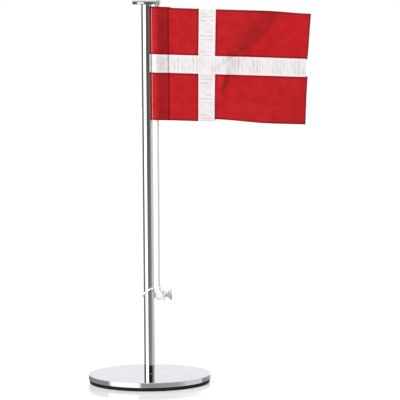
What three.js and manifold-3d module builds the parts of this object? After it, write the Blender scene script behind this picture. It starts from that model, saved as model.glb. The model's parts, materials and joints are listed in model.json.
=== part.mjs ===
// A desk flag stand: a turned steel pole on a round weighted base, a cloth flag that
// runs up and down the pole on a thin halyard, and the knob that the halyard is wound on.
// Millimetres, +Z up. The origin is the centre of the base's underside, on the pole's
// axis. +X points towards the flag's fly, and the flag is seen from the -Y side.
import * as THREE from "three";
import { mergeVertices } from "three/addons/utils/BufferGeometryUtils.js";
import Module from "manifold-3d";

const wasm = await Module();
wasm.setup();

// ---- driving dimensions -------------------------------------------------------------

const PLATE_RADIUS = 60; // polished steel base
const PLATE_THICKNESS = 5;
const PLATE_EDGE = 0.4; // bevel on the base's two rims
const PAD_INSET = 0.8; // how far the pad stops short of the plate's rim
const PAD_THICKNESS = 3.5;

const POLE_RADIUS = 5.25;
const POLE_WALL = 1;
const POLE_LENGTH = 362.8;
const PLUG_LENGTH = 14; // threaded plugs at the foot and the head of the pole

const SCREW_RADIUS = 2; // base screw and truck stud
const SCREW_HEAD_RADIUS = 4.2;
const SCREW_LENGTH = 15;
const SCREW_SOCKET_RADIUS = 1.7; // across the corners of the hexagon socket
const SCREW_SOCKET_DEPTH = 1.2;

const TRUCK_RADIUS = 13.8; // the disc on the pole's head
const TRUCK_THICKNESS = 3.7;
const TRUCK_EDGE = 0.35;
const TRUCK_ROOF = 1; // steel left above the truck's threaded bore
const TRUCK_HOLE_SPACING = 4.545; // between the centres of the halyard's two holes
const TRUCK_HOLE_TURN = THREE.MathUtils.degToRad(50.4); // direction from one to the other

const CLEAT_HEIGHT = 87; // height of the cleat's axis
const CLEAT_NECK_RADIUS = 2.2;
const CLEAT_NECK_LENGTH = 11.85;
const CLEAT_RIM_RADIUS = 6.05;
const CLEAT_FLARE = 4; // length of the flare from neck to rim
const CLEAT_RIM = 0.5;
const CLEAT_DOME = 1.2;
const CLEAT_STUD_RADIUS = 1.2;
const CLEAT_STUD_REACH = 6; // how far the stud goes into the knob
const ANCHOR_LENGTH = 9; // barrel nut inside the pole

const CORD_RADIUS = 0.75;
const PILE_SET_OFF = 1.15; // bare neck between its foot and the pile of windings
const PILE_LENGTH = 6.7;
const PILE_DEPTH = 3.6; // windings' thickness on the neck
const TURN_SET_OFF = 1; // bare neck between the last turns and the flare
const TURN_DEPTH = 1.1;

const HOIST_TURN = THREE.MathUtils.degToRad(-23.43); // hoist line, round from +X
const HOIST_CLEARANCE = 0.36; // between the sleeve and the pole
const KNOT_WALL = 0.55;
const KNOT_LENGTH = 2.4;
const KNOT_INSET = 2; // distance of each knot inside the sleeve's mouth

const CLOTH = 0.3; // cloth thickness
const SEAM_GAP = 0.05; // between cloth pieces that are sewn edge to edge
const SLEEVE_RADIUS = 4.2; // outside of the round part of the sleeve
const SLEEVE_TAPER = 2.8; // from the round part to where the sleeve's two layers meet
const SLEEVE_LAP = 5; // the layers' flat overlap, up to the seam
const FLAG_BELOW_TRUCK = 2.2;
const FLAG_HOIST = 110.3;
const FLAG_FLY = 153; // hoist line to the fly edge
const CROSS_WIDTH = 17.7; // ribbon that lies along the flag
const UPRIGHT_START = 42.4; // hoist line to the upright ribbon
const UPRIGHT_WIDTH = 16.8;
const DROOP = 0.036; // fall of the flag for each unit of length away from the hoist

const FIT = 0.1; // between a plug or a stud and its bore
const GAP = 0.3; // between cord and whatever it lies on, and at the cleat's foot
const ROUND = 64; // sides of the pole and of small turned parts
const BASE_ROUND = 96;
const SMALL_ROUND = 24;

// ---- dimensions that follow ---------------------------------------------------------

const POLE_FOOT = PAD_THICKNESS + PLATE_THICKNESS;
const POLE_HEAD = POLE_FOOT + POLE_LENGTH;
const POLE_BORE = POLE_RADIUS - POLE_WALL;
const PLUG_RADIUS = POLE_BORE - FIT;
const THREAD_BORE = SCREW_RADIUS + FIT;
const TRUCK_TOP = POLE_HEAD + TRUCK_THICKNESS;
const NECK_START = POLE_RADIUS + GAP;
const NECK_END = NECK_START + CLEAT_NECK_LENGTH;
const SLEEVE_BORE = SLEEVE_RADIUS - CLOTH;
const SLEEVE_NECK = SLEEVE_RADIUS + SLEEVE_TAPER;
const SLEEVE_SEAM = SLEEVE_NECK + SLEEVE_LAP;
const CORD_BORE = CORD_RADIUS + GAP; // hole that the halyard runs through
const KNOT_BORE = CORD_RADIUS + GAP / 2;

// The hoist line is the upright strand that the flag hangs on and swings about.
const HOIST_DISTANCE = POLE_RADIUS + HOIST_CLEARANCE + SLEEVE_RADIUS;
const HOIST_X = HOIST_DISTANCE * Math.cos(HOIST_TURN);
const HOIST_Y = HOIST_DISTANCE * Math.sin(HOIST_TURN);

// Centres of the truck's two holes.
const TRUCK_HOLE_UP = [HOIST_X, HOIST_Y];
const TRUCK_HOLE_DOWN = [
  HOIST_X + TRUCK_HOLE_SPACING * Math.cos(TRUCK_HOLE_TURN),
  HOIST_Y + TRUCK_HOLE_SPACING * Math.sin(TRUCK_HOLE_TURN),
];

const FLAG_TOP = POLE_HEAD - FLAG_BELOW_TRUCK;
const FLAG_BOTTOM = FLAG_TOP - FLAG_HOIST;
const CROSS_TOP = FLAG_BOTTOM + (FLAG_HOIST + CROSS_WIDTH) / 2;
const CROSS_BOTTOM = CROSS_TOP - CROSS_WIDTH;
const FLY_START = UPRIGHT_START + UPRIGHT_WIDTH;

// ---- materials ----------------------------------------------------------------------

const steel = { color: 0xd8dade, roughness: 0.08, metalness: 1 };
const turnedSteel = { color: 0xb4b6ba, roughness: 0.3, metalness: 1 };
const blackPad = { color: 0x141415, roughness: 0.85, metalness: 0 };
const whiteCord = { color: 0xe9eaec, roughness: 0.55, metalness: 0 };
const redCloth = { color: 0xc3222a, roughness: 0.75, metalness: 0 };
const whiteRibbon = { color: 0xe6e2e2, roughness: 0.7, metalness: 0 };

const stand = new THREE.Group();

function addPiece(name, geometry, look) {
  const mesh = new THREE.Mesh(geometry, new THREE.MeshStandardMaterial(look));
  mesh.name = name;
  stand.add(mesh);
  return mesh;
}

// ---- shape helpers ------------------------------------------------------------------

// A solid turned about +Z. Each profile point is [radius, height]; the profile runs so
// that the material lies on its left, and a ring's profile closes on itself.
function turned(points, sides = ROUND) {
  const profile = points.map(([radius, height]) => new THREE.Vector2(radius, height));
  return new THREE.LatheGeometry(profile, sides).rotateX(Math.PI / 2);
}

// A ring about +Z with square corners.
function ring(inner, outer, bottom, top, sides = ROUND) {
  return turned(
    [
      [inner, bottom],
      [outer, bottom],
      [outer, top],
      [inner, top],
      [inner, bottom],
    ],
    sides,
  );
}

// A solid rod about +Z.
function rod(radius, bottom, top, sides = SMALL_ROUND) {
  return turned(
    [
      [0, bottom],
      [radius, bottom],
      [radius, top],
      [0, top],
    ],
    sides,
  );
}

// Turns a solid about +Z into one about the cleat's axis, which points along +X.
function alongCleat(geometry) {
  return geometry.rotateY(Math.PI / 2).translate(0, 0, CLEAT_HEIGHT);
}

function toManifold(geometry) {
  const bare = geometry.clone();
  bare.deleteAttribute("normal");
  bare.deleteAttribute("uv");
  const merged = mergeVertices(bare, 1e-4);
  const mesh = new wasm.Mesh({
    numProp: 3,
    vertProperties: merged.attributes.position.array,
    triVerts: new Uint32Array(merged.index.array),
  });
  return new wasm.Manifold(mesh);
}

// The first solid with each of the others cut away.
function cut(geometry, ...tools) {
  let solid = toManifold(geometry);
  for (const tool of tools) {
    solid = solid.subtract(toManifold(tool));
  }
  const mesh = solid.getMesh();
  const result = new THREE.BufferGeometry();
  result.setAttribute("position", new THREE.BufferAttribute(mesh.vertProperties, 3));
  result.setIndex(new THREE.BufferAttribute(mesh.triVerts, 1));
  return result;
}

// A smooth curve through a route's points, stepped evenly from point to point.
class Route extends THREE.CatmullRomCurve3 {
  getUtoTmapping(u) {
    return u;
  }
}

// A cord's tube along hand-placed points, with this many steps between two points.
function cordTube(points, stepsPerPoint) {
  const route = new Route(points.map((point) => new THREE.Vector3(...point)));
  const section = new THREE.Shape();
  const sides = 8;
  for (let side = 0; side < sides; side += 1) {
    const angle = (side / sides) * Math.PI * 2;
    const across = CORD_RADIUS * Math.cos(angle);
    const up = CORD_RADIUS * Math.sin(angle);
    if (side === 0) section.moveTo(across, up);
    else section.lineTo(across, up);
  }
  section.closePath();
  return new THREE.ExtrudeGeometry(section, {
    steps: (points.length - 1) * stepsPerPoint,
    extrudePath: route,
    bevelEnabled: false,
  });
}

// ---- base ---------------------------------------------------------------------------

function makeBase() {
  const padRadius = PLATE_RADIUS - PAD_INSET;
  const pad = turned(
    [
      [0, 0],
      [padRadius - PLATE_EDGE, 0],
      [padRadius, PLATE_EDGE],
      [padRadius, PAD_THICKNESS],
      [0, PAD_THICKNESS],
    ],
    BASE_ROUND,
  );
  addPiece("base_pad", pad, blackPad);

  // The plate's hole is countersunk from below for the screw that holds the pole.
  const holeRadius = SCREW_RADIUS + GAP;
  const sinkRadius = SCREW_HEAD_RADIUS + GAP;
  const rim = PLATE_RADIUS;
  const plate = turned(
    [
      [sinkRadius, PAD_THICKNESS],
      [rim - PLATE_EDGE, PAD_THICKNESS],
      [rim, PAD_THICKNESS + PLATE_EDGE],
      [rim, POLE_FOOT - PLATE_EDGE],
      [rim - PLATE_EDGE, POLE_FOOT],
      [holeRadius, POLE_FOOT],
      [holeRadius, PAD_THICKNESS + sinkRadius - holeRadius],
      [sinkRadius, PAD_THICKNESS],
    ],
    BASE_ROUND,
  );
  addPiece("base_plate", plate, steel);

  const headBottom = PAD_THICKNESS + GAP;
  const headTop = headBottom + SCREW_HEAD_RADIUS - SCREW_RADIUS;
  const blank = turned(
    [
      [0, headBottom],
      [SCREW_HEAD_RADIUS, headBottom],
      [SCREW_RADIUS, headTop],
      [SCREW_RADIUS, headBottom + SCREW_LENGTH],
      [0, headBottom + SCREW_LENGTH],
    ],
    SMALL_ROUND,
  );
  const socket = rod(SCREW_SOCKET_RADIUS, headBottom - 1, headBottom + SCREW_SOCKET_DEPTH, 6);
  addPiece("base_screw", cut(blank, socket), turnedSteel);
}

// ---- pole ---------------------------------------------------------------------------

function makePole() {
  const tube = ring(POLE_BORE, POLE_RADIUS, POLE_FOOT, POLE_HEAD);
  const studHole = alongCleat(rod(CLEAT_STUD_RADIUS + GAP, 0, POLE_RADIUS * 2));
  addPiece("pole_tube", cut(tube, studHole), steel);

  const foot = ring(THREAD_BORE, PLUG_RADIUS, POLE_FOOT, POLE_FOOT + PLUG_LENGTH);
  addPiece("pole_foot_plug", foot, turnedSteel);

  const head = ring(THREAD_BORE, PLUG_RADIUS, POLE_HEAD - PLUG_LENGTH, POLE_HEAD);
  addPiece("pole_head_plug", head, turnedSteel);
}

// ---- truck: the disc on the head, with the halyard's two holes ----------------------

function makeTruck() {
  const boreTop = TRUCK_TOP - TRUCK_ROOF;
  const disc = turned([
    [THREAD_BORE, POLE_HEAD],
    [TRUCK_RADIUS - TRUCK_EDGE, POLE_HEAD],
    [TRUCK_RADIUS, POLE_HEAD + TRUCK_EDGE],
    [TRUCK_RADIUS, TRUCK_TOP - TRUCK_EDGE],
    [TRUCK_RADIUS - TRUCK_EDGE, TRUCK_TOP],
    [0, TRUCK_TOP],
    [0, boreTop],
    [THREAD_BORE, boreTop],
    [THREAD_BORE, POLE_HEAD],
  ]);
  const holes = [TRUCK_HOLE_UP, TRUCK_HOLE_DOWN].map(([x, y]) =>
    rod(CORD_BORE, POLE_HEAD - 1, TRUCK_TOP + 1).translate(x, y, 0),
  );
  addPiece("truck_disc", cut(disc, ...holes), steel);

  const studFoot = POLE_HEAD - PLUG_LENGTH + 2;
  addPiece("truck_stud", rod(SCREW_RADIUS, studFoot, boreTop - GAP), turnedSteel);
}

// ---- cleat: the knob that the halyard is wound on -----------------------------------

function makeCleat() {
  const studEnd = NECK_START + CLEAT_STUD_REACH;
  const rimStart = NECK_END + CLEAT_FLARE;
  const rimEnd = rimStart + CLEAT_RIM;
  const boreRadius = CLEAT_STUD_RADIUS + FIT;
  const profile = [
    [boreRadius, NECK_START],
    [CLEAT_NECK_RADIUS, NECK_START],
    [CLEAT_NECK_RADIUS, NECK_END],
  ];
  // The flare is a quarter of an ellipse, hollow side out.
  const flareSteps = 8;
  for (let step = 1; step <= flareSteps; step += 1) {
    const angle = (step / flareSteps) * (Math.PI / 2);
    const rise = (CLEAT_RIM_RADIUS - CLEAT_NECK_RADIUS) * (1 - Math.cos(angle));
    profile.push([CLEAT_NECK_RADIUS + rise, NECK_END + CLEAT_FLARE * Math.sin(angle)]);
  }
  // The face is a shallow dome.
  const domeSteps = 6;
  for (let step = 0; step <= domeSteps; step += 1) {
    const angle = (step / domeSteps) * (Math.PI / 2);
    const radius = CLEAT_RIM_RADIUS * Math.cos(angle);
    profile.push([step === domeSteps ? 0 : radius, rimEnd + CLEAT_DOME * Math.sin(angle)]);
  }
  profile.push([0, studEnd + GAP], [boreRadius, studEnd + GAP], [boreRadius, NECK_START]);
  addPiece("cleat_knob", alongCleat(turned(profile, 40)), steel);

  const studStart = -PLUG_RADIUS / 2;
  const stud = alongCleat(rod(CLEAT_STUD_RADIUS, studStart, studEnd));
  addPiece("cleat_stud", stud, turnedSteel);

  // The anchor is a barrel nut that the stud pulls against the inside of the pole.
  const bottom = CLEAT_HEIGHT - ANCHOR_LENGTH / 2;
  const barrel = rod(PLUG_RADIUS, bottom, bottom + ANCHOR_LENGTH, ROUND);
  const studBore = alongCleat(rod(boreRadius, -POLE_RADIUS * 2, POLE_RADIUS * 2));
  addPiece("cleat_anchor", cut(barrel, studBore), turnedSteel);
}

// ---- halyard ------------------------------------------------------------------------

// From the cleat up the hoist line, over the truck, down through its second hole and
// back to the cleat beside the first strand.
const LINE_ROUTE = [
  [9, -3.9, 92.7],
  [9, -3.9, 120],
  [9, -3.9, 180],
  [9, -3.9, 240],
  [9, -3.9, 300],
  [9, -3.9, 350],
  [9, -3.9, 368],
  [9, -3.9, 372.5],
  [9, -3.9, 374.3],
  [9.17, -3.69, 375.17],
  [9.42, -3.39, 375.91],
  [9.9, -2.82, 376.4],
  [10.45, -2.15, 376.57],
  [11, -1.48, 376.4],
  [11.48, -0.91, 375.91],
  [11.73, -0.61, 375.17],
  [11.9, -0.4, 374.3],
  [11.9, -0.4, 372.8],
  [11.77, -0.55, 371.5],
  [11.27, -1.16, 370.3],
  [10.88, -1.63, 369.1],
  [10.82, -1.7, 367],
  [10.8, -1.7, 350],
  [10.7, -1.7, 300],
  [10.57, -1.7, 240],
  [10.43, -1.7, 180],
  [10.28, -1.7, 120],
  [10.2, -1.7, 93.5],
];

// One turn about the pole, between the windings' front and their back.
const POLE_TURN_ROUTE = [
  [5.5, -2.9, 92.4],
  [4.6, -4.2, 93.1],
  [3, -5.45, 93.3],
  [1, -6.15, 92.5],
  [-1.2, -6.1, 91.1],
  [-3.4, -5.2, 89.5],
  [-5.1, -3.55, 87.9],
  [-6.05, -1.5, 86.4],
  [-6.2, 0.6, 85.3],
  [-5.7, 2.5, 84.7],
  [-4.4, 4.4, 84.3],
  [-2.4, 5.75, 84.1],
  [0, 6.25, 84],
  [2.4, 5.75, 84],
  [4.3, 4.5, 84.1],
  [5.5, 2.95, 84.2],
];

// The halyard's free end, hanging from the turns beside the knob.
const TAIL_ROUTE = [
  [14.6, -0.4, 83],
  [14.8, -0.7, 82],
  [15.2, -0.95, 80.8],
  [15.7, -1.1, 79.6],
  [16.2, -1.2, 78.4],
  [16.7, -1.3, 77.2],
  [17.1, -1.35, 76],
];

function makeHalyard() {
  addPiece("halyard_line", cordTube(LINE_ROUTE, 2), whiteCord);
  addPiece("halyard_pole_turn", cordTube(POLE_TURN_ROUTE, 2), whiteCord);
  addPiece("halyard_tail", cordTube(TAIL_ROUTE, 1), whiteCord);

  // The windings' outer shape: a full pile, then the last turns on the neck.
  const inner = CLEAT_NECK_RADIUS + GAP;
  const pileRadius = inner + PILE_DEPTH;
  const pileStart = NECK_START + PILE_SET_OFF;
  const pileEnd = pileStart + PILE_LENGTH;
  const turnRadius = inner + TURN_DEPTH;
  const turnEnd = NECK_END - TURN_SET_OFF;
  const windings = turned(
    [
      [inner, pileStart],
      [pileRadius - CORD_RADIUS, pileStart],
      [pileRadius, pileStart + CORD_RADIUS],
      [pileRadius, pileEnd - CORD_RADIUS],
      [pileRadius - CORD_RADIUS, pileEnd],
      [turnRadius, pileEnd],
      [turnRadius, turnEnd - CORD_RADIUS],
      [turnRadius - CORD_RADIUS, turnEnd],
      [inner, turnEnd],
      [inner, pileStart],
    ],
    32,
  );
  addPiece("halyard_windings", alongCleat(windings), whiteCord);

  // Knots on the rising strand, hidden just inside the sleeve's two mouths.
  const upper = FLAG_TOP - KNOT_INSET - KNOT_LENGTH;
  const lower = FLAG_BOTTOM + KNOT_INSET;
  for (const [name, bottom] of [
    ["upper_line_knot", upper],
    ["lower_line_knot", lower],
  ]) {
    const top = bottom + KNOT_LENGTH;
    const knot = ring(KNOT_BORE, KNOT_BORE + KNOT_WALL, bottom, top, SMALL_ROUND);
    addPiece(name, knot.translate(HOIST_X, HOIST_Y, 0), whiteCord);
  }
}

// ---- flag ---------------------------------------------------------------------------

// Section of the cloth at the hoist, seen from above with the hoist line at 0, 0: a
// drop-shaped sleeve whose two layers meet at the neck and are sewn down at the seam,
// and a single layer from there to `end`.
function sleeveSection(end) {
  const section = new THREE.Shape();
  const lean = Math.acos(SLEEVE_RADIUS / SLEEVE_NECK);
  section.moveTo(end, 0);
  section.lineTo(end, CLOTH);
  section.lineTo(SLEEVE_NECK, CLOTH);
  section.absarc(0, 0, SLEEVE_RADIUS, lean, Math.PI * 2 - lean, false);
  section.lineTo(SLEEVE_NECK, -CLOTH);
  section.lineTo(SLEEVE_SEAM, -CLOTH);
  section.lineTo(SLEEVE_SEAM, 0);
  section.closePath();

  const hollow = new THREE.Path();
  hollow.absarc(0, 0, SLEEVE_BORE, lean, Math.PI * 2 - lean, false);
  hollow.lineTo(SLEEVE_NECK - CLOTH, 0);
  hollow.closePath();
  section.holes.push(hollow);
  return section;
}

// A flat length of cloth in one layer, from `start` to `end` along the flag.
function flatSection(start, end) {
  const section = new THREE.Shape();
  section.moveTo(start, 0);
  section.lineTo(end, 0);
  section.lineTo(end, CLOTH);
  section.lineTo(start, CLOTH);
  section.closePath();
  return section;
}

// Cloth of one section between two heights at the hoist, falling towards the fly.
function cloth(section, bottom, top) {
  const falling = new THREE.Matrix4().makeShear(0, -DROOP, 0, 0, 0, 0);
  return new THREE.ExtrudeGeometry(section, {
    depth: top - bottom,
    bevelEnabled: false,
    curveSegments: 24,
  })
    .translate(0, 0, bottom)
    .applyMatrix4(falling)
    .translate(HOIST_X, HOIST_Y, 0);
}

function makeFlag() {
  const upper = [CROSS_TOP + SEAM_GAP, FLAG_TOP];
  const lower = [FLAG_BOTTOM, CROSS_BOTTOM - SEAM_GAP];
  const hoist = sleeveSection(UPRIGHT_START - SEAM_GAP);
  const upright = flatSection(UPRIGHT_START, FLY_START);
  const fly = flatSection(FLY_START + SEAM_GAP, FLAG_FLY);

  addPiece("flag_upper_hoist_panel", cloth(hoist, ...upper), redCloth);
  addPiece("flag_lower_hoist_panel", cloth(hoist, ...lower), redCloth);
  addPiece("flag_upper_fly_panel", cloth(fly, ...upper), redCloth);
  addPiece("flag_lower_fly_panel", cloth(fly, ...lower), redCloth);
  addPiece("flag_upper_upright_ribbon", cloth(upright, ...upper), whiteRibbon);
  addPiece("flag_lower_upright_ribbon", cloth(upright, ...lower), whiteRibbon);
  addPiece(
    "flag_cross_ribbon",
    cloth(sleeveSection(FLAG_FLY), CROSS_BOTTOM, CROSS_TOP),
    whiteRibbon,
  );
}

makeBase();
makePole();
makeTruck();
makeCleat();
makeHalyard();
makeFlag();

export default stand;
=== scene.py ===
import json
import math

import bpy
import numpy as np
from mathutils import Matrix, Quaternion, Vector
from mathutils.geometry import delaunay_2d_cdt


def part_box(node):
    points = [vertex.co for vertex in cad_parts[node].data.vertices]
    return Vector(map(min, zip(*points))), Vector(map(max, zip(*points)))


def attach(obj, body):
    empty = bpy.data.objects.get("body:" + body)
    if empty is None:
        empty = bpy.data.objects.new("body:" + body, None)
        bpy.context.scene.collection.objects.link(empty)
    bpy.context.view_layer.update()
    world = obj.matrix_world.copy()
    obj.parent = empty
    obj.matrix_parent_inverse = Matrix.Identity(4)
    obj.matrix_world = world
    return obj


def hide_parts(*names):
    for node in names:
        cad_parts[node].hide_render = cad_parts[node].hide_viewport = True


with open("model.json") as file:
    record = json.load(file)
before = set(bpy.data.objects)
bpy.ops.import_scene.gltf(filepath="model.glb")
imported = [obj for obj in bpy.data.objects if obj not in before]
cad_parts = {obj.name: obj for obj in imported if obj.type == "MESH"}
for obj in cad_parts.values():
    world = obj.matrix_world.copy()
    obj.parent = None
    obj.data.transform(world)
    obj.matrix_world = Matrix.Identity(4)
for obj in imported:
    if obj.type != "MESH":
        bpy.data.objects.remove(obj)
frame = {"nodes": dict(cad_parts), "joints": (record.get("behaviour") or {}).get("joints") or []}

# A desk flag stand: polished steel pole and base, a cleat with its halyard, and a cloth
# flag sewn from red panels and white ribbons. Sizes in this file are in millimetres, and
# the mesh maker turns them into metres. +Z is up, +X points along the flag, -Y is front.

MM = 0.001
RNG = np.random.default_rng(7)


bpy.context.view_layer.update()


def node_box(name):
    """The lowest and highest corner of a CAD node, in millimetres, as two arrays."""
    low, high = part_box(name)
    return np.array(low) / MM, np.array(high) / MM


def put_in_scene(name, data):
    """A new object with a mesh, camera or light as its data."""
    made = bpy.data.objects.new(name, data)
    bpy.context.scene.collection.objects.link(made)
    return made


# ---- places and sizes that come from the frame ----------------------------------------

PLATE_LOW, PLATE_HIGH = node_box("base_plate")
PAD_LOW, PAD_HIGH = node_box("base_pad")
_, SCREW_HIGH = node_box("base_screw")
TUBE_LOW, TUBE_HIGH = node_box("pole_tube")
TRUCK_LOW, TRUCK_HIGH = node_box("truck_disc")
KNOB_LOW, KNOB_HIGH = node_box("cleat_knob")

SWING = next(joint for joint in frame["joints"] if joint["name"] == "flag_swing")
HOIST_X = SWING["pos_m"][0] / MM
HOIST_Y = SWING["pos_m"][1] / MM
POLE_RADIUS = TUBE_HIGH[0]
CLEAT_Z = (KNOB_LOW[2] + KNOB_HIGH[2]) / 2
CORD_RADIUS = 0.75

# ---- camera ---------------------------------------------------------------------------

CAMERA_PLACE = (50.8, -2310, 375.2)
CAMERA_TARGET = (50.8, 0, 179.7)
CAMERA_LENS, CAMERA_SENSOR = 212.7, 36
CAMERA_ROLL = -0.4  # degrees


def make_camera():
    """A long lens level with the pole's head, looking slightly down with a slight roll."""
    data = bpy.data.cameras.new("camera")
    data.lens = CAMERA_LENS
    data.sensor_width = CAMERA_SENSOR
    data.clip_start = 0.1
    data.clip_end = 50
    camera = put_in_scene("camera", data)
    place = Vector(CAMERA_PLACE) * MM
    target = Vector(CAMERA_TARGET) * MM
    aim = (target - place).to_track_quat("-Z", "Y")
    camera.location = place
    camera.rotation_mode = "QUATERNION"
    camera.rotation_quaternion = aim @ Quaternion((0, 0, 1), math.radians(CAMERA_ROLL))
    bpy.context.scene.camera = camera


make_camera()

# ---- mesh makers ----------------------------------------------------------------------


def make_piece(name, points, faces, uv=None, values=None):
    """A mesh at the origin from points in millimetres and arrays of three or four corners.
    The faces are all turned round if the solid's volume comes out negative. uv is one pair
    for each point, and values are named numbers for each point."""
    points = np.asarray(points, float)
    faces = [np.asarray(group, np.int64) for group in faces if len(group)]
    volume = 0.0
    for group in faces:
        first = points[group[:, 0]]
        for k in range(1, group.shape[1] - 1):
            cross = np.cross(points[group[:, k]] - first, points[group[:, k + 1]] - first)
            volume += np.einsum("ij,ij->", first, cross)
    if volume < 0:
        faces = [group[:, ::-1] for group in faces]
    sizes = np.concatenate([np.full(len(group), group.shape[1]) for group in faces])
    corners = np.concatenate([group.ravel() for group in faces])
    mesh = bpy.data.meshes.new(name)
    mesh.vertices.add(len(points))
    mesh.vertices.foreach_set("co", (points * MM).astype(np.float32).ravel())
    mesh.loops.add(len(corners))
    mesh.loops.foreach_set("vertex_index", corners.astype(np.int32))
    mesh.polygons.add(len(sizes))
    mesh.polygons.foreach_set("loop_start", (np.cumsum(sizes) - sizes).astype(np.int32))
    mesh.polygons.foreach_set("use_smooth", np.ones(len(sizes), bool))
    if uv is not None:
        layer = mesh.uv_layers.new(name="UVMap")
        layer.data.foreach_set("uv", np.asarray(uv, np.float32)[corners].ravel())
    for key, numbers in (values or {}).items():
        attribute = mesh.attributes.new(key, "FLOAT", "POINT")
        attribute.data.foreach_set("value", np.asarray(numbers, np.float32).ravel())
    mesh.update()
    mesh.validate()
    return put_in_scene(name, mesh)


def grid_quads(rows, columns, wrap_rows=False, wrap_columns=False):
    """The quads of a grid of points, row by row. A wrapped direction joins last to first."""
    i = np.arange(rows if wrap_rows else rows - 1)
    j = np.arange(columns if wrap_columns else columns - 1)
    i, j = (index.ravel() for index in np.meshgrid(i, j, indexing="ij"))
    after_i, after_j = (i + 1) % rows, (j + 1) % columns
    rings = [i * columns + j, i * columns + after_j, after_i * columns + after_j, after_i * columns + j]
    return np.stack(rings, axis=-1)


def turned(profile, sides):
    """Points of a profile of (radius, height) turned about +Z, one row for each profile point."""
    profile = np.asarray(profile, float)
    turn = np.arange(sides) * 2 * np.pi / sides
    points = np.empty((len(profile), sides, 3))
    points[..., 0] = profile[:, None, 0] * np.cos(turn)
    points[..., 1] = profile[:, None, 0] * np.sin(turn)
    points[..., 2] = profile[:, None, 1]
    return points


def arc(centre, radius, start, end, steps):
    """Points of a circular arc about a centre, from one angle to another, in degrees."""
    angle = np.radians(np.linspace(start, end, steps + 1))
    return np.stack([centre[0] + radius * np.cos(angle), centre[1] + radius * np.sin(angle)], axis=-1)


def ring_solid(name, profile, sides):
    """A closed profile turned about +Z all round, which makes a solid with a hole through it."""
    points = turned(profile, sides)
    return make_piece(name, points.reshape(-1, 3), [grid_quads(len(profile), sides, True, True)])


def end_fans(rows, sides):
    """Triangles that close a tube of points, given row by row, onto two points added after
    them: the first for the first row, and the second for the last row."""
    j = np.arange(sides)
    after, last_row = (j + 1) % sides, (rows - 1) * sides
    start = np.stack([np.full(sides, rows * sides), after, j], axis=-1)
    end = np.stack([np.full(sides, rows * sides + 1), last_row + j, last_row + after], axis=-1)
    return start, end


def finish_piece(piece, body, slot, material, *nodes):
    """Gives a piece its material and the body it rides on, and hides the nodes it stands for. The slot
    is not used.
    """
    piece.data.materials.append(material)
    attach(piece, body)
    if nodes:
        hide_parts(*nodes)
    return piece


# ---- node material helpers ------------------------------------------------------------


def linear(red, green, blue):
    """A colour of 0 to 255 display values as linear light."""
    return [*(((value / 255 + 0.055) / 1.055) ** 2.4 for value in (red, green, blue)), 1]


class Nodes:
    """Short words for adding and joining nodes in one tree."""

    def __init__(self, tree):
        self.tree = tree

    def add(self, kind, inputs=None, **settings):
        """A node of one kind, its settings, and its inputs as numbers, colours or sockets."""
        node = self.tree.nodes.new(kind)
        for key, value in settings.items():
            setattr(node, key, value)
        return self.feed(node, inputs or {})

    def feed(self, node, inputs):
        """Joins outputs to a node's inputs, or sets the inputs' own values. Gives the node."""
        for key, value in inputs.items():
            if isinstance(value, bpy.types.NodeSocket):
                self.tree.links.new(value, node.inputs[key])
            else:
                node.inputs[key].default_value = value
        return node

    def math(self, operation, first, second=0.0, clamp=False):
        """The output of a Math node."""
        node = self.add("ShaderNodeMath", {0: first, 1: second}, operation=operation, use_clamp=clamp)
        return node.outputs[0]

    def plus(self, first, second, clamp=False):
        """The sum of two numbers or outputs."""
        return self.math("ADD", first, second, clamp)

    def times(self, first, second):
        """The product of two numbers or outputs."""
        return self.math("MULTIPLY", first, second)

    def wave(self, turns):
        """The sine of a number of full turns."""
        return self.math("SINE", self.times(turns, 2 * math.pi))

    def split(self, vector):
        """The three outputs of a vector's parts."""
        return self.add("ShaderNodeSeparateXYZ", {0: vector}).outputs

    def places(self, output):
        """One of the outputs of a Texture Coordinate node."""
        return self.add("ShaderNodeTexCoord").outputs[output]

    def own_map(self):
        """A piece's own map: the distances in millimetres that its mesh maker gave it."""
        return self.add("ShaderNodeUVMap", uv_map="UVMap").outputs[0]

    def from_mesh(self, name):
        """A number that a mesh maker stored for each point."""
        return self.add("ShaderNodeAttribute", attribute_name=name).outputs["Fac"]

    def mix(self, share, first, second):
        """The colour output of a Mix node."""
        node = self.add("ShaderNodeMix", data_type="RGBA")
        return self.feed(node, {0: share, 6: first, 7: second}).outputs[2]

    def ramp(self, share, stops):
        """A colour ramp with stops of (place, colour or grey)."""
        node = self.add("ShaderNodeValToRGB", {0: share})
        while len(node.color_ramp.elements) < len(stops):
            node.color_ramp.elements.new(0.5)
        for element, (place, colour) in zip(node.color_ramp.elements, stops):
            element.position = place
            element.color = colour if hasattr(colour, "__len__") else (colour, colour, colour, 1)
        return node.outputs[0]

    def noise(self, vector, scale, detail=2.0, roughness=0.5):
        """The value of a noise texture."""
        inputs = {"Vector": vector, "Scale": scale, "Detail": detail, "Roughness": roughness}
        return self.add("ShaderNodeTexNoise", inputs).outputs["Fac"]

    def bump(self, height, strength, distance):
        """The normal of a Bump node."""
        inputs = {"Height": height, "Strength": strength, "Distance": distance}
        return self.add("ShaderNodeBump", inputs).outputs[0]


def new_material(name):
    """An empty node material, its node helper and its Principled shader."""
    material = bpy.data.materials.new(name)
    material.use_nodes = True
    tree = material.node_tree
    shader = next(node for node in tree.nodes if node.type == "BSDF_PRINCIPLED")
    return material, Nodes(tree), shader


def new_group(name, inputs, outputs):
    """A shader node group with named sockets: its tree, helper, input node and output node."""
    tree = bpy.data.node_groups.new(name, "ShaderNodeTree")
    for socket, kind, value in inputs:
        made = tree.interface.new_socket(name=socket, in_out="INPUT", socket_type=kind)
        made.default_value = value
    for socket, kind in outputs:
        tree.interface.new_socket(name=socket, in_out="OUTPUT", socket_type=kind)
    nodes = Nodes(tree)
    return tree, nodes, nodes.add("NodeGroupInput"), nodes.add("NodeGroupOutput")


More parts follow.
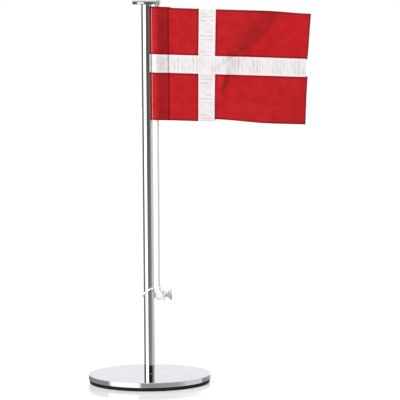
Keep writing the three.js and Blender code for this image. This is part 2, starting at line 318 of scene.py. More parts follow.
FLOAT, VECTOR = "NodeSocketFloat", "NodeSocketVector"


def handled_metal_group():
    """Faint smudges, polishing lines and edge rub on metal, as roughness and a height."""
    tree, nodes, given, result = new_group(
        "handled_metal",
        [("Roughness", FLOAT, 0.05), ("Smudge", FLOAT, 0.05), ("Line Scale", VECTOR, (1, 1, 1))],
        [("Roughness", FLOAT), ("Tint", FLOAT), ("Height", FLOAT)],
    )
    place = nodes.places("Object")
    smudge = nodes.noise(place, 38.0, 4.0, 0.6)
    smudge = nodes.ramp(smudge, [(0.42, 0.0), (0.72, 1.0)])
    scale = given.outputs["Line Scale"]
    stretched = nodes.add("ShaderNodeVectorMath", {0: place, 1: scale}, operation="MULTIPLY")
    lines = nodes.noise(stretched.outputs[0], 1.0, 3.0, 0.7)
    specks = nodes.noise(place, 900.0, 1.0, 0.5)
    specks = nodes.ramp(specks, [(0.66, 0.0), (0.74, 1.0)])
    rough = nodes.times(smudge, given.outputs["Smudge"])
    rough = nodes.plus(rough, given.outputs["Roughness"])
    rough = nodes.plus(rough, nodes.times(specks, 0.04))
    nodes.feed(result, {
        "Roughness": nodes.plus(rough, nodes.times(lines, 0.03)),
        "Tint": nodes.times(nodes.plus(smudge, specks), 0.5),
        "Height": nodes.plus(lines, nodes.times(specks, 0.3)),
    })
    return tree


HANDLED_METAL = handled_metal_group()


def metal_material(name, light, dark, roughness, smudge, line_scale, depth):
    """Bright metal whose colour dulls a little under smudges, with fine lines in its normal."""
    material, nodes, shader = new_material(name)
    group = nodes.add("ShaderNodeGroup", node_tree=HANDLED_METAL)
    nodes.feed(group, {"Roughness": roughness, "Smudge": smudge, "Line Scale": line_scale})
    nodes.feed(shader, {
        "Base Color": nodes.mix(group.outputs["Tint"], light, dark),
        "Roughness": group.outputs["Roughness"],
        "Normal": nodes.bump(group.outputs["Height"], 1.0, depth),
        "Metallic": 1.0,
    })
    return material


# A metal's clean and smudged colour. Its finish is its roughness, how much smudges add to
# that, the scale of its fine lines along each axis, and their depth in metres.
BRIGHT = (0.86, 0.86, 0.87, 1), (0.74, 0.74, 0.76, 1)
# A darker copy of the bright steel, used for the truck: painted shade that deepens its reflections.
SHADED_GREY = (0.5, 0.5, 0.505, 1), (0.42, 0.42, 0.425, 1)
DULL = (0.6, 0.6, 0.61, 1), (0.45, 0.45, 0.46, 1)
PLATE_STEEL = metal_material("plate_steel", *BRIGHT, 0.035, 0.05, (60, 900, 60), 1.2e-7)
POLE_STEEL = metal_material("pole_steel", *BRIGHT, 0.03, 0.03, (120, 120, 2600), 1e-7)
TRUCK_STEEL = metal_material("truck_steel", *SHADED_GREY, 0.05, 0.05, (90, 90, 2400), 2e-7)
KNOB_STEEL = metal_material("knob_steel", *BRIGHT, 0.05, 0.05, (3500, 90, 90), 2e-7)
TURNED_STEEL = metal_material("turned_steel", *DULL, 0.25, 0.12, (300, 300, 4000), 4e-6)


def foam_material():
    """Black cellular foam rubber, with small open cells darkened by painted shade, dust and a paler
    rub.
    """
    material, nodes, shader = new_material("foam_rubber")
    place = nodes.places("Object")
    cells = nodes.add("ShaderNodeTexVoronoi", {"Vector": place, "Scale": 1900.0}).outputs["Distance"]
    dust = nodes.ramp(nodes.noise(place, 240.0, 5.0, 0.65), [(0.45, 0.0), (0.75, 1.0)])
    black, dusty, pore_shade = (0.008, 0.006, 0.006, 1), (0.022, 0.018, 0.017, 1), (0.004, 0.003, 0.003, 1)
    colour = nodes.mix(dust, black, dusty)
    nodes.feed(shader, {
        # The cells darken the colour: painted shade in the foam's open cells.
        "Base Color": nodes.mix(nodes.times(cells, 0.6), colour, pore_shade),
        "Roughness": nodes.plus(nodes.times(dust, 0.15), 0.72),
        "Normal": nodes.bump(cells, 0.7, 2e-4),
        "Specular IOR Level": 0.3,
    })
    return material


FOAM = foam_material()


def yarn_group():
    """Crossing yarns on a cloth's own map in millimetres: a height, a shade and a soft blotch."""
    tree, nodes, given, result = new_group(
        "yarns",
        [("Across", FLOAT, 3.0), ("Along", FLOAT, 3.0), ("Slub", FLOAT, 0.3)],
        [("Height", FLOAT), ("Shade", FLOAT), ("Blotch", FLOAT)],
    )
    place = nodes.own_map()
    split = nodes.split(place)
    waves = []
    for output, scale in ((split[0], given.outputs["Across"]), (split[1], given.outputs["Along"])):
        waves.append(nodes.wave(nodes.times(output, scale)))
    weave = nodes.times(waves[0], waves[1])
    weave = nodes.plus(nodes.times(weave, 0.35), 0.5)
    fuzz = nodes.noise(place, 5.0, 3.0, 0.7)
    blotch = nodes.noise(place, 0.11, 3.0, 0.55)
    height = nodes.plus(weave, nodes.times(fuzz, given.outputs["Slub"]))
    nodes.feed(result, {
        "Height": height,
        "Shade": nodes.plus(nodes.times(height, 0.6), 0.1, True),
        "Blotch": nodes.ramp(blotch, [(0.3, 0.0), (0.7, 1.0)]),
    })
    return tree


YARNS = yarn_group()


def cloth_material(name, low, high, faded, yarns, roughness, sheen, tint):
    """Ribbed cloth: painted shade between its ribs and painted light on their crests, read from the
    shading that the mesh stores, and faded in soft blotches.
    The yarns are how many there are in a millimetre, across and along."""
    material, nodes, shader = new_material(name)
    group = nodes.add("ShaderNodeGroup", node_tree=YARNS)
    nodes.feed(group, {"Across": yarns[0], "Along": yarns[1]})
    painted_shading = nodes.from_mesh("painted_shading")
    # The colour runs from low, the painted shade colour, to high, the painted light colour, by the
    # yarns' painted shading and the mesh's stored painted shading of ribs, strokes, scallops and hem.
    shade = nodes.times(group.outputs["Shade"], 0.35)
    shade = nodes.plus(shade, nodes.times(painted_shading, 0.65), True)
    colour = nodes.mix(shade, low, high)
    # The fading is scaled by the painted shading, so it shows where that is light.
    wear = nodes.times(nodes.times(group.outputs["Blotch"], 0.4), painted_shading)
    nodes.feed(shader, {
        "Base Color": nodes.mix(wear, colour, faded),
        "Roughness": nodes.math("SUBTRACT", roughness, nodes.times(shade, 0.12)),
        "Normal": nodes.bump(group.outputs["Height"], 0.6, 5e-5),
        "Sheen Weight": sheen,
        "Sheen Roughness": 0.4,
        "Sheen Tint": tint,
        "Specular IOR Level": 0.25,
    })
    return material


# For each cloth: its painted shade colour between ribs, its painted light colour on their crests, its
# faded colour, yarns, roughness, sheen and sheen tint.
RED_CLOTH = cloth_material(
    "red_cloth", linear(104, 2, 14), linear(184, 18, 25), linear(208, 42, 42),
    (3.2, 2.9), 0.85, 0.1, linear(255, 90, 80),
)
WHITE_RIBBON = cloth_material(
    "white_ribbon", linear(160, 149, 151), linear(246, 243, 242), linear(236, 232, 232),
    (3.6, 3.6), 0.8, 0.15, (1, 1, 1, 1),
)


THREAD_TWIST = 3.0  # turns of the plies in a millimetre


def thread_material(name, low, high, sheen):
    """Spun thread: thin twisted plies across its own map, with painted light on their crests."""
    material, nodes, shader = new_material(name)
    place = nodes.own_map()
    split = nodes.split(place)
    turn = nodes.plus(nodes.times(split[0], THREAD_TWIST), split[1])
    ply = nodes.wave(turn)
    ply = nodes.plus(nodes.times(ply, 0.5), 0.5)
    fuzz = nodes.noise(place, 6.0, 3.0, 0.7)
    nodes.feed(shader, {
        # The plies' crests are lighter: painted light, with painted shade between them.
        "Base Color": nodes.mix(nodes.times(ply, fuzz), low, high),
        "Roughness": nodes.plus(nodes.times(fuzz, 0.2), 0.6),
        "Normal": nodes.bump(nodes.plus(ply, fuzz), 0.5, 4e-5),
        "Sheen Weight": sheen,
        "Specular IOR Level": 0.2,
    })
    return material


RED_THREAD = thread_material("red_thread", linear(56, 0, 7), linear(112, 3, 14), 0.0)
WHITE_THREAD = thread_material("white_thread", linear(214, 211, 212), linear(250, 250, 250), 0.2)


def cord_material():
    """A braided white cord: strands lifted by the mesh, with painted shade in the gaps between them,
    painted light on their crests, and fine filaments.
    """
    material, nodes, shader = new_material("braided_cord")
    place = nodes.own_map()
    braid = nodes.from_mesh("braid")
    split = nodes.split(place)
    turn = nodes.plus(nodes.times(split[1], 14.0), nodes.times(split[0], 1.5))
    filament = nodes.wave(turn)
    fuzz = nodes.noise(place, 3.0, 4.0, 0.7)
    gap, flank, crest = linear(150, 146, 152), linear(221, 219, 223), linear(248, 248, 250)
    # Colours by strand height: painted shade in the gaps, painted light on the crests.
    colour = nodes.ramp(braid, [(0.0, gap), (0.35, flank), (1.0, crest)])
    height = nodes.plus(nodes.times(filament, 0.3), fuzz)
    nodes.feed(shader, {
        "Base Color": nodes.mix(nodes.times(fuzz, 0.2), colour, linear(234, 230, 235)),
        "Roughness": nodes.math("SUBTRACT", 0.75, nodes.times(braid, 0.2)),
        "Normal": nodes.bump(height, 0.5, 3e-5),
        "Sheen Weight": 0.2,
        "Specular IOR Level": 0.35,
    })
    return material


BRAIDED_CORD = cord_material()

# ---- halyard --------------------------------------------------------------------------

# The points of the cord that the frame gives, in metres.
LINE_ROUTE = [
    [0.009, -0.0039, 0.0927], [0.009, -0.0039, 0.12], [0.009, -0.0039, 0.18], [0.009, -0.0039, 0.24],
    [0.009, -0.0039, 0.3], [0.009, -0.0039, 0.35], [0.009, -0.0039, 0.368], [0.009, -0.0039, 0.3725],
    [0.009, -0.0039, 0.3743], [0.00917, -0.00369, 0.37517], [0.00942, -0.00339, 0.37591],
    [0.0099, -0.00282, 0.3764], [0.01045, -0.00215, 0.37657], [0.011, -0.00148, 0.3764],
    [0.01148, -0.00091, 0.37591], [0.01173, -0.00061, 0.37517], [0.0119, -0.0004, 0.3743],
    [0.0119, -0.0004, 0.3728], [0.01177, -0.00055, 0.3715], [0.01127, -0.00116, 0.3703],
    [0.01088, -0.00163, 0.3691], [0.01082, -0.0017, 0.367], [0.0108, -0.0017, 0.35],
    [0.0107, -0.0017, 0.3], [0.01057, -0.0017, 0.24], [0.01043, -0.0017, 0.18],
    [0.01028, -0.0017, 0.12], [0.0102, -0.0017, 0.0935],
]
POLE_TURN_ROUTE = [
    [0.0055, -0.0029, 0.0924], [0.0046, -0.0042, 0.0931], [0.003, -0.00545, 0.0933],
    [0.001, -0.00615, 0.0925], [-0.0012, -0.0061, 0.0911], [-0.0034, -0.0052, 0.0895],
    [-0.0051, -0.00355, 0.0879],
    [-0.00605, -0.0015, 0.0864], [-0.0062, 0.0006, 0.0853], [-0.0057, 0.0025, 0.0847],
    [-0.0044, 0.0044, 0.0843], [-0.0024, 0.00575, 0.0841], [0, 0.00625, 0.084],
    [0.0024, 0.00575, 0.084], [0.0043, 0.0045, 0.0841], [0.0055, 0.00295, 0.0842],
]
TAIL_ROUTE = [
    [0.0146, -0.0004, 0.083], [0.0148, -0.0007, 0.082], [0.0152, -0.00095, 0.0808],
    [0.0157, -0.0011, 0.0796], [0.0162, -0.0012, 0.0784], [0.0167, -0.0013, 0.0772],
    [0.0171, -0.00135, 0.076],
]

TURN_STEPS = 16  # points for each turn round the cleat's neck
PILE_LEFT, PILE_RIGHT = 7.55, 12.45  # where the pile's outer turns lie along the cleat
LAYER_RADII = (3.05, 4.3, 5.5)  # of the cord's middle in the three layers of the pile
PATH_STEP = 0.3  # between the points that the cord is drawn through
CORD_SIDES = 16
BRAID_LAY = 5.2  # the length in which one strand goes once round the cord
BRAID_LOW, BRAID_LIFT = 0.1, 0.12  # how far the cord's core is sunk, and a strand's height on it
CORD_END = 0.35  # how far from its ends the cord is rounded off
WHIPPING_THREAD = 0.2  # radius of the thread wound round the line as a knot


def neck_turns(x_start, x_end, radius_start, radius_end, angle_start, angle_end):
    """A helix round the cleat's axis, as points. The angle is in degrees from the front,
    and grows upwards at the front. Place and radius change evenly along it."""
    steps = max(4, round(abs(angle_end - angle_start) / 360 * TURN_STEPS))
    share = np.linspace(0, 1, steps + 1)
    angle = np.radians(angle_start + (angle_end - angle_start) * share)
    radius = radius_start + (radius_end - radius_start) * share
    x = x_start + (x_end - x_start) * share
    return np.stack([x, -radius * np.cos(angle), CLEAT_Z + radius * np.sin(angle)], axis=-1)


def halyard_route():
    """The cord's points from its tucked end to its free tail: three layers round the neck,
    one turn round the pole under the last of them, over the truck and back down, slantwise
    across the layers, round the neck beside them, and down."""
    line, pole_turn, tail = (
        np.array(route) / MM for route in (LINE_ROUTE, POLE_TURN_ROUTE, TAIL_ROUTE)
    )
    left, right = PILE_LEFT, PILE_RIGHT
    inner, middle, outer = LAYER_RADII
    return np.concatenate([
        neck_turns(left, right, inner, inner, 90, -990),
        neck_turns(right - 0.3, left, middle, middle + 0.05, -1060, -2060),
        neck_turns(left - 0.6, left - 1.1, 4.9, 5.6, -2105, -2120),
        pole_turn,
        neck_turns(left - 0.8, left - 0.3, 4.4, 4.9, -135, -115),
        neck_turns(left, right, outer, outer, -85, 1130),
        [[12.1, -2.5, 92.9], [11.2, -1.9, 94.2], [10.5, -1.75, 96], [10.22, -1.7, 99]],
        line[::-1][1:-1],
        [[9.05, -4.2, 95.2], [9.5, -4.9, 92.7], [10.7, -6.2, 90.3], [12.3, -6.8, 88.4],
         [13.7, -6.0, 86.8], [15.0, -4.5, 85.5], [16.1, -3.0, 84.9]],
        neck_turns(16.85, 13.95, 3.0, 3.0, -65, -785),
        [[14.35, -0.9, 83.9]],
        tail,
    ])


def smooth_path(points, step):
    """A Catmull-Rom curve through points, with as much parameter as the square root of each
    gap, taken at even steps of arc length."""
    points = np.asarray(points, float)
    points = np.vstack([2 * points[0] - points[1], points, 2 * points[-1] - points[-2]])
    knots = np.concatenate([[0], np.cumsum(np.sqrt(np.linalg.norm(np.diff(points, axis=0), axis=1)))])
    samples = np.linspace(knots[1], knots[-2], 40 * len(points))
    k = np.clip(np.searchsorted(knots, samples, "right") - 1, 1, len(points) - 3)
    p0, p1, p2, p3 = (points[k + i] for i in (-1, 0, 1, 2))
    t0, t1, t2, t3 = (knots[k + i][:, None] for i in (-1, 0, 1, 2))
    t = samples[:, None]
    a1 = (t1 - t) / (t1 - t0) * p0 + (t - t0) / (t1 - t0) * p1
    a2 = (t2 - t) / (t2 - t1) * p1 + (t - t1) / (t2 - t1) * p2
    a3 = (t3 - t) / (t3 - t2) * p2 + (t - t2) / (t3 - t2) * p3
    b1 = (t2 - t) / (t2 - t0) * a1 + (t - t0) / (t2 - t0) * a2
    b2 = (t3 - t) / (t3 - t1) * a2 + (t - t1) / (t3 - t1) * a3
    curve = (t2 - t) / (t2 - t1) * b1 + (t - t1) / (t2 - t1) * b2
    along = np.concatenate([[0], np.cumsum(np.linalg.norm(np.diff(curve, axis=0), axis=1))])
    even = np.linspace(0, along[-1], int(along[-1] / step) + 1)
    return np.stack([np.interp(even, along, curve[:, axis]) for axis in range(3)], axis=-1), even


def frames_along(line):
    """Two unit vectors square to a line at each point, carried along it with little twist."""
    tangent = np.gradient(line, axis=0)
    tangent /= np.linalg.norm(tangent, axis=1)[:, None]
    side = np.empty_like(tangent)
    side[0] = np.cross(tangent[0], [0.3, 0.5, 0.8])
    for i in range(1, len(line)):
        side[i] = side[i - 1] - tangent[i] * (side[i - 1] @ tangent[i])
        side[i] /= np.linalg.norm(side[i])
    side[0] /= np.linalg.norm(side[0])
    return side, np.cross(tangent, side)


def tube_along(name, line, along, radius, sides, values=None):
    """A tube round a line, with a radius for each point and side, and a closed cap at each end."""
    side, other = frames_along(line)
    turn = np.arange(sides) * 2 * np.pi / sides
    ring = side[:, None] * np.cos(turn)[:, None] + other[:, None] * np.sin(turn)[:, None]
    points = line[:, None] + ring * radius[..., None]
    rows = len(line)
    points = np.vstack([points.reshape(-1, 3), line[0], line[-1]])
    around = np.abs(2 * np.arange(sides) / sides - 1)  # there and back, so the map has no seam
    uv = np.stack(np.meshgrid(along, around, indexing="ij"), axis=-1).reshape(-1, 2)
    uv = np.vstack([uv, uv[0], uv[-1]])
    values = {key: np.append(numbers.ravel(), [0, 0]) for key, numbers in (values or {}).items()}
    faces = [grid_quads(rows, sides, False, True), *end_fans(rows, sides)]
    return make_piece(name, points, faces, uv, values)


def make_halyard():
    """The one length of cord. Its section is a circle lifted by a braid of eight strands in
    each hand: the higher of two crossing waves of arc length plus or minus turn."""
    line, along = smooth_path(halyard_route(), PATH_STEP)
    turn = np.arange(CORD_SIDES) * 2 * np.pi / CORD_SIDES
    lay = 2 * np.pi * along[:, None] / BRAID_LAY
    waves = [np.abs(np.sin(2 * (turn + sign * lay))) for sign in (1, -1)]
    braid = np.maximum(*waves)
    end_fade = np.minimum(1, np.minimum(along, along[-1] - along) / CORD_END)
    radius = CORD_RADIUS - BRAID_LOW + BRAID_LIFT * braid
    radius = radius * np.sqrt(np.maximum(0.15, end_fade))[:, None]
    cord = tube_along("halyard_cord", line, along, radius, CORD_SIDES, {"braid": braid})
    nodes = ["halyard_line", "halyard_pole_turn", "halyard_tail", "halyard_windings"]
    finish_piece(cord, "stand", "halyard_cord", BRAIDED_CORD, *nodes)


make_halyard()


def make_whipping(name, node):
    """Thread wound tightly round the line to hold the flag's height: a helix."""
    low, high = node_box(node)
    thread = WHIPPING_THREAD
    radius = CORD_RADIUS + thread * 0.8
    z_start, z_end = low[2] + thread, high[2] - thread
    turns = (z_end - z_start) / (2 * thread)
    steps = int(turns * 20)
    share = np.linspace(0, 1, steps + 1)
    angle = 2 * np.pi * turns * share
    z = z_start + (z_end - z_start) * share
    line = np.stack([HOIST_X + radius * np.cos(angle), HOIST_Y + radius * np.sin(angle), z], axis=-1)
    along = share * 2 * np.pi * turns * radius
    piece = tube_along(name, line, along, np.full((len(line), 8), thread), 8)
    finish_piece(piece, "line_knots", "halyard_cord", WHITE_THREAD, node)


make_whipping("upper_whipping", "upper_line_knot")
make_whipping("lower_whipping", "lower_line_knot")

# ---- steel ----------------------------------------------------------------------------

PLATE_EDGE, PLATE_BORE = 0.4, 2.3
PAD_BULGE, PAD_BORE_ROOM = 0.35, 0.4
TUBE_WALL, TUBE_EDGE = 1.0, 0.15
TRUCK_EDGE, TRUCK_HOLE_EDGE = 0.35, 0.22
CORD_PLAY = 0.3  # room round the cord in the truck's holes
KNOB_NECK, KNOB_FLARE, KNOB_RIM, KNOB_DOME = 2.2, 4.0, 0.5, 1.2
KNOB_EDGE, KNOB_FOOT_RING, FLARE_POWER = 0.18, 1.3, 1.4


def rounded_side(rim, low, high, edge, steps, between=()):
    """The outer side of a turned profile, upwards: a rounded edge, any points on the side,
    and a rounded edge."""
    return [
        *arc((rim - edge, low + edge), edge, -90, 0, steps),
        *between,
        *arc((rim - edge, high - edge), edge, 0, 90, steps),
    ]


def make_base():
    """The steel plate and the foam pad below it: ring profiles turned about the pole's axis.
    The plate's rim has small rounded edges, and the pad's side is slightly pressed out."""
    rim, edge, bore = PLATE_HIGH[0], PLATE_EDGE, PLATE_BORE
    low, high = PLATE_LOW[2], PLATE_HIGH[2]
    plate = np.vstack([
        [[bore, low], [bore + 0.1, low], [rim - edge - 0.06, low]],
        rounded_side(rim, low, high, edge, 6, [[rim, low + edge + 0.05], [rim, high - edge - 0.05]]),
        [[rim - edge - 0.06, high], [bore + 0.1, high], [bore, high]],
    ])
    steel = ring_solid("steel_base", plate, 256)
    finish_piece(steel, "stand", "polished_steel", PLATE_STEEL, "base_plate")
    rim, low, high = PAD_HIGH[0], PAD_LOW[2], PAD_HIGH[2]
    bore, middle = SCREW_HIGH[0] + PAD_BORE_ROOM, (low + high) / 2
    side = arc((rim - PAD_BULGE, middle), PAD_BULGE, -90, 90, 8)
    side[:, 1] = middle + (side[:, 1] - middle) / PAD_BULGE * (high - low) / 2
    pad = np.vstack([[[bore, low], [rim - 3, low]], side, [[rim - 3, high], [bore, high]]])
    finish_piece(ring_solid("foam_pad", pad, 192), "stand", "base_pad", FOAM, "base_pad")


def make_pole():
    """The drawn tube: a ring profile with small broken edges, turned about the axis."""
    low, high, edge = TUBE_LOW[2], TUBE_HIGH[2], TUBE_EDGE
    rim, bore = POLE_RADIUS, POLE_RADIUS - TUBE_WALL
    between = [[rim, level] for level in np.linspace(low + edge + 0.5, high - edge - 0.5, 12)]
    tube = [[bore, low], *rounded_side(rim, low, high, edge, 3, between), [bore, high]]
    finish_piece(ring_solid("steel_pole", tube, 96), "stand", "polished_steel", POLE_STEEL, "pole_tube")


def make_truck():
    """The disc on the pole's head. Its rim is a turned profile with rounded edges, and its
    two flat faces are filled between the rim and the soft edges of the two cord holes."""
    rim, edge, soft = TRUCK_HIGH[0], TRUCK_EDGE, TRUCK_HOLE_EDGE
    low, high = TRUCK_LOW[2], TRUCK_HIGH[2]
    hole = CORD_RADIUS + CORD_PLAY
    line = np.array(LINE_ROUTE) / MM
    centres = [line[7, :2], line[17, :2]]
    border = rim - edge - 0.3
    side = [[border, low], *rounded_side(rim, low, high, edge, 5), [border, high]]
    bore = [
        [hole + soft + 0.1, low],
        *arc((hole + soft, low + soft), soft, 270, 180, 4),
        *arc((hole + soft, high - soft), soft, 180, 90, 4),
        [hole + soft + 0.1, high],
    ]
    grids = [turned(side, 128)] + [turned(bore, 32) + [*centre, 0] for centre in centres]
    points, quads, rings, start = [], [], [], 0
    for grid in grids:
        rows, columns = grid.shape[:2]
        part = grid_quads(rows, columns, False, True) + start
        quads.append(part[:, ::-1] if rings else part)
        number = start + np.arange(columns)
        rings.append((number, number + (rows - 1) * columns))
        points.append(grid.reshape(-1, 3))
        start += rows * columns
    points = np.vstack(points)
    low_rings, high_rings = (np.concatenate(level) for level in zip(*rings))
    edges, first = [], 0
    for count in (len(ring) for ring, _ in rings):
        edges += [(first + k, first + (k + 1) % count) for k in range(count)]
        first += count
    flat = points[low_rings, :2]
    _, _, filled, given, _, _ = delaunay_2d_cdt([Vector(point) for point in flat], edges, [], 1, 1e-5)
    given = np.array([numbers[0] if numbers else -1 for numbers in given])
    filled = given[np.array(filled)]
    filled = filled[(filled >= 0).all(axis=1)]
    middle = flat[filled].mean(axis=1)
    outside = [np.linalg.norm(middle - centre, axis=1) > hole + soft for centre in centres]
    filled = filled[np.all(outside, axis=0)]
    ahead, aside = (flat[filled[:, k]] - flat[filled[:, 0]] for k in (1, 2))
    up = ahead[:, 0] * aside[:, 1] > ahead[:, 1] * aside[:, 0]
    filled = np.where(up[:, None], filled, filled[:, ::-1])
    triangles = [low_rings[filled][:, ::-1], high_rings[filled]]
    piece = make_piece("truck", points, quads + triangles)
    finish_piece(piece, "stand", "polished_steel", TRUCK_STEEL, "truck_disc")


def make_knob():
    """The cleat: neck, flare, thin rim and low dome, turned about the cleat's axis. The flare
    widens with a power of its length. The profile runs from the pole's side to the dome's
    middle."""
    neck, flare, thin, dome, soft = KNOB_NECK, KNOB_FLARE, KNOB_RIM, KNOB_DOME, KNOB_EDGE
    rim, start, end = KNOB_HIGH[2] - CLEAT_Z, KNOB_LOW[0], KNOB_HIGH[0]
    flare_start = end - dome - thin - flare
    share = np.linspace(0, 1, 15)
    widening = neck + (rim - neck) * share**FLARE_POWER
    flared = np.stack([widening, flare_start + flare * share], axis=-1)
    edge = np.vstack([
        arc((rim - soft, end - dome - thin + soft), soft, -90, 0, 4),
        arc((rim - soft, end - dome - soft), soft, 0, 60, 4),
    ])
    angle = np.radians(np.linspace(3, 88, 14))
    domed = np.stack([(rim - soft * 0.6) * np.cos(angle), end - dome + dome * np.sin(angle)], axis=-1)
    necking = np.stack([np.full(5, neck), np.linspace(start + 0.05, flare_start - 0.3, 5)], axis=-1)
    profile = np.vstack([[[KNOB_FOOT_RING, start]], [[neck, start]], necking, flared[:-1], edge, domed])
    rows, sides = len(profile), 96
    points = np.vstack([turned(profile, sides).reshape(-1, 3), [0, 0, start], [0, 0, end]])
    points = np.stack([points[:, 2], points[:, 1], CLEAT_Z - points[:, 0]], axis=-1)
    faces = [grid_quads(rows, sides, False, True), *end_fans(rows, sides)]
    piece = make_piece("cleat", points, faces)
    finish_piece(piece, "stand", "polished_steel", KNOB_STEEL, "cleat_knob")


make_base()
make_pole()
make_truck()
make_knob()

HIDDEN_STEEL = (
    "base_screw", "pole_foot_plug", "pole_head_plug", "truck_stud", "cleat_stud", "cleat_anchor",
)
for hidden in HIDDEN_STEEL:
    mesh = frame["nodes"][hidden].data
    mesh.materials.clear()
    mesh.materials.append(TURNED_STEEL)

# ---- flag -----------------------------------------------------------------------------

# Distances are along the cloth from the hoist line, and heights are above its bottom.
FLAG_BOTTOM, FLAG_HOIST = 258.8, 110.3
CROSS_LOW, CROSS_HIGH = 46.3, 64.0
UPRIGHT_LEFT, UPRIGHT_RIGHT = 42.4, 59.2
FLY_END = 153.0
DROOP = 0.036  # how far the cloth sinks for each millimetre along it
TIP_DROOP, SLACK = 1.6, 0.9  # how far the fly's top corner and the hoist's top sink
SLEEVE_RADIUS, SLEEVE_NECK, SEAM_END = 3.9, 10.0, 12.4
SLEEVE_THINNING = 0.5  # share of its thickness that the cloth loses round the sleeve
LAYER = 0.3  # from the flat cloth's middle to the plane of the hoist line
RED_THICK, RIBBON_THICK = 0.24, 0.36
RED_RIB, RIBBON_RIB = 1.4, 1.6  # from one rib to the next
OVERLAP = 0.8  # how far red cloth reaches under a ribbon
RIBBON_UNDER = 0.3  # how far the upright ribbons reach under the cross ribbon
RIBBON_BORDER = 2.3
FLY_LIFT = 2.3  # how far the lower fly panel is pulled up beside the upright ribbon

# How deep the cloth's slanting fold, its crease, its dent and the curl of its fly are.
FOLD_DEPTH, CREASE_DEPTH, DENT_DEPTH, FLY_CURL = 9.5, 2.0, 4.6, 1.6
FORESHORTENING = {  # height, and how far folds pull in the fly there
    0: -7.6, 30: -6.6, 46: -5.5, 54: -6.0, 64: -5.6, 78: -4.2, 96: -3.0, 110: -1.9,
}

# Threads' length, width and height, and how far their middles lie from the cloth's edge.
EDGE_THREAD, EDGE_ROOM = (2.1, 0.95, 0.34), 0.7
JOIN_THREAD, JOIN_ROOM = (2.1, 0.95, 0.34), 0.9
RIBBON_THREAD, RIBBON_ROOM = (1.9, 0.42, 0.2), 1.1
SEAM_THREAD, SEAM_ROOM = (1.9, 0.75, 0.36), 0.8
# From one thread to the next, and the degrees that a ribbon's threads turn to either side.
RED_PITCH, RIBBON_PITCH, RIBBON_SWING = 2.0, 0.8, 38


def blend_in(value, low, high):
    """0 below low, 1 above high, and a smooth step between."""
    share = np.clip((value - low) / (high - low), 0, 1)
    return share * share * (3 - 2 * share)


def drape(a, h):
    """How far the cloth stands back from its flat plane: a slanting fold that steps back and
    slowly returns, a sharper crease in it, a short dent beside the cross, two long low
    waves, a curl at the fly and a fine ripple."""
    lean = a - 80 - (h - 62) * 0.72
    step = blend_in(lean, -17, 17) * (1 - 0.25 * blend_in(h, 84, 110))
    back = FOLD_DEPTH * step * np.exp(-np.maximum(0, lean - 10) / 34) * blend_in(h, 24, 78)
    wave = 1.2 * np.sin((a - 20) / 21 + h / 60) * blend_in(a, 14, 60)
    wave += 0.9 * np.sin(a / 12.5 - h / 34 + 1.1) * blend_in(a, 62, 105)
    across_dent = (a - 67 - (h - 40) * 0.3) / 4.4
    dent = DENT_DEPTH * np.exp(-(across_dent**2) - ((h - 39) / 10.0) ** 2)
    crease = a - 84 - (h - 70) * 1.25
    ridge = blend_in(crease, -3.5, 3.5) * np.exp(-np.maximum(0, crease) / 16)
    back += CREASE_DEPTH * ridge * within(h, 52, 84, 14)
    curl = -FLY_CURL * blend_in(a, 132, FLY_END) * blend_in(h, 0, 60)
    ripple = 0.3 * np.sin(a / 4.3 + 1.4 * np.sin(h / 14)) * np.sin(h / 7.3 + a / 29)
    ripple += 0.22 * np.sin(a / 7.7 - h / 9.1)
    return (back + wave - dent + curl + ripple) * blend_in(a, SEAM_END + 1, 34)


def foreshorten(a, h):
    """How far the cloth's points move along x because folds take up cloth lower down."""
    at_fly = np.interp(h, list(FORESHORTENING), list(FORESHORTENING.values()))
    return at_fly * np.clip((a - SEAM_END) / (FLY_END - SEAM_END), 0, 1.1)


def cloth_place(a, y, h):
    """The point of the cloth in millimetres: distance along it, offset from its plane, height."""
    x = HOIST_X + a + foreshorten(a, h)
    tip = TIP_DROOP * blend_in(a, 105, FLY_END) * blend_in(h, 78, 110)
    slack = SLACK * blend_in(a, 12, 17) * blend_in(h, 88, 110)
    z = FLAG_BOTTOM + h - DROOP * a - tip - slack
    return np.stack([x, HOIST_Y + y + drape(a, h), z], axis=-1)


def make_section():
    """The flag seen from above: the turned-back hem in front, a tangent, an arc round the
    halyard, a tangent, and the flat cloth out to the fly. Its corners are eased. Distance
    along it is counted so that it equals the distance from the hoist line on the flat."""
    reach = math.hypot(SLEEVE_NECK, LAYER)
    spread = math.degrees(math.acos(SLEEVE_RADIUS / reach) + math.atan2(LAYER, SLEEVE_NECK))
    loop = arc((0, 0), SLEEVE_RADIUS, 360 - spread, spread, 48)
    flat_end = FLY_END + 1
    ends = [[SLEEVE_NECK, LAYER], [flat_end, LAYER]]
    corners = np.vstack([[[SEAM_END, -LAYER], [SLEEVE_NECK, -LAYER]], loop, ends])
    along = np.concatenate([[0], np.cumsum(np.linalg.norm(np.diff(corners, axis=0), axis=1))])
    even = np.linspace(0, along[-1], 2400)
    line = np.stack([np.interp(even, along, corners[:, axis]) for axis in (0, 1)], axis=-1)
    half = 11
    kernel = np.hanning(2 * half + 1)
    kernel /= kernel.sum()
    padded = np.vstack([np.repeat(line[:1], half, axis=0), line, np.repeat(line[-1:], half, axis=0)])
    line = np.stack([np.convolve(padded[:, axis], kernel, "valid") for axis in (0, 1)], axis=-1)
    line[0], line[-1] = corners[0], corners[-1]
    along = np.concatenate([[0], np.cumsum(np.linalg.norm(np.diff(line, axis=0), axis=1))])
    tangent = np.gradient(line, axis=0)
    tangent /= np.linalg.norm(tangent, axis=1)[:, None]
    return along - along[-1] + flat_end, line, tangent


SECTION_ALONG, SECTION_LINE, SECTION_TANGENT = make_section()
HEM_EDGE = SECTION_ALONG[0]


